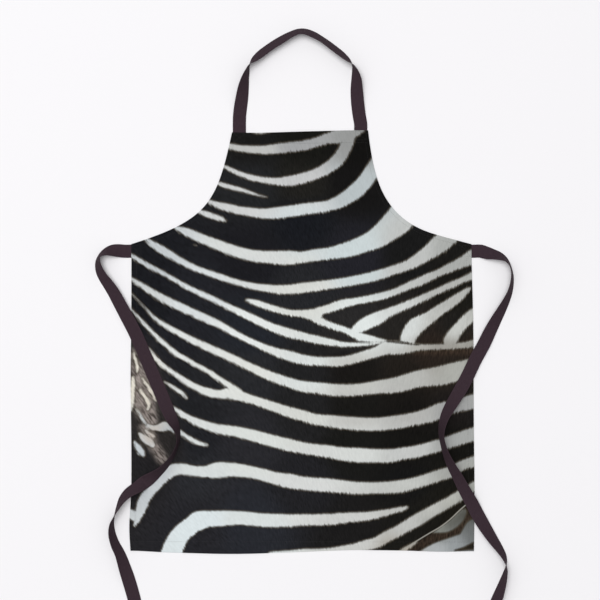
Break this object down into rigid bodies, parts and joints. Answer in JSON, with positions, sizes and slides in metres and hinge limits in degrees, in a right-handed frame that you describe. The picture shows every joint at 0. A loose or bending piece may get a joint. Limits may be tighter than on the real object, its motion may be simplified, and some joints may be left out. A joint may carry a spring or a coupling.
{
  "type": "bib apron",
  "caption": "Bib apron laid flat and face up: printed cloth panel with curved armholes and folded hems, neck strap and free waist ties of flat tape.",
  "frame": {"origin": "on the surface that the apron lies on, in the middle of the box round the panel and the neck strap", "axes": "+Z out of the printed face, +Y from the skirt to the neck, +X to the right seen from the printed face"},
  "size_m": [0.7956, 1.2342, 0.0278],
  "materials": {
    "printed_cloth": "plain-woven polyester with a black and cream striped hide print, matte, unprinted off-white on its back",
    "tape": "dark aubergine twill tape, matte",
    "cloth_thread": "dark polyester sewing thread",
    "tape_thread": "dark aubergine sewing thread"
  },
  "bodies": {
    "apron": {"front_panel": "printed_cloth", "top_hem": "printed_cloth", "bottom_hem": "printed_cloth", "left_side_hem": "printed_cloth", "right_side_hem": "printed_cloth", "left_armhole_hem": "printed_cloth", "right_armhole_hem": "printed_cloth", "top_hem_stitching": "cloth_thread", "bottom_hem_stitching": "cloth_thread", "left_side_stitching": "cloth_thread", "right_side_stitching": "cloth_thread", "left_armhole_stitching": "cloth_thread", "right_armhole_stitching": "cloth_thread", "neck_strap_left_sewn_end": "tape", "neck_strap_right_sewn_end": "tape", "left_tie_sewn_end": "tape", "right_tie_sewn_end": "tape", "neck_strap_left_tack": "cloth_thread", "neck_strap_right_tack": "cloth_thread", "left_tie_tack": "cloth_thread", "right_tie_tack": "cloth_thread"},
    "neck_loop": {"neck_strap": "tape"},
    "left_tie": {"left_waist_tie": "tape", "left_tie_end_hem": "tape", "left_tie_end_stitching": "tape_thread"},
    "right_tie": {"right_waist_tie": "tape", "right_tie_end_hem": "tape", "right_tie_end_stitching": "tape_thread"}
  },
  "joints": [
    {"name": "neck_fold", "type": "hinge", "parent": "apron", "child": "neck_loop", "pos_m": [-0.0047, 0.305, 0.0016], "axis": [1, 0, 0], "range_deg": [0, 160]},
    {"name": "left_tie_swing", "type": "hinge", "parent": "apron", "child": "left_tie", "pos_m": [-0.3253, 0.087, 0.0005], "axis": [-1, 0, 0], "range_deg": [0, 160]},
    {"name": "right_tie_swing", "type": "hinge", "parent": "apron", "child": "right_tie", "pos_m": [0.3253, 0.087, 0.0005], "axis": [-1, 0, 0], "range_deg": [0, 160]}
  ]
}
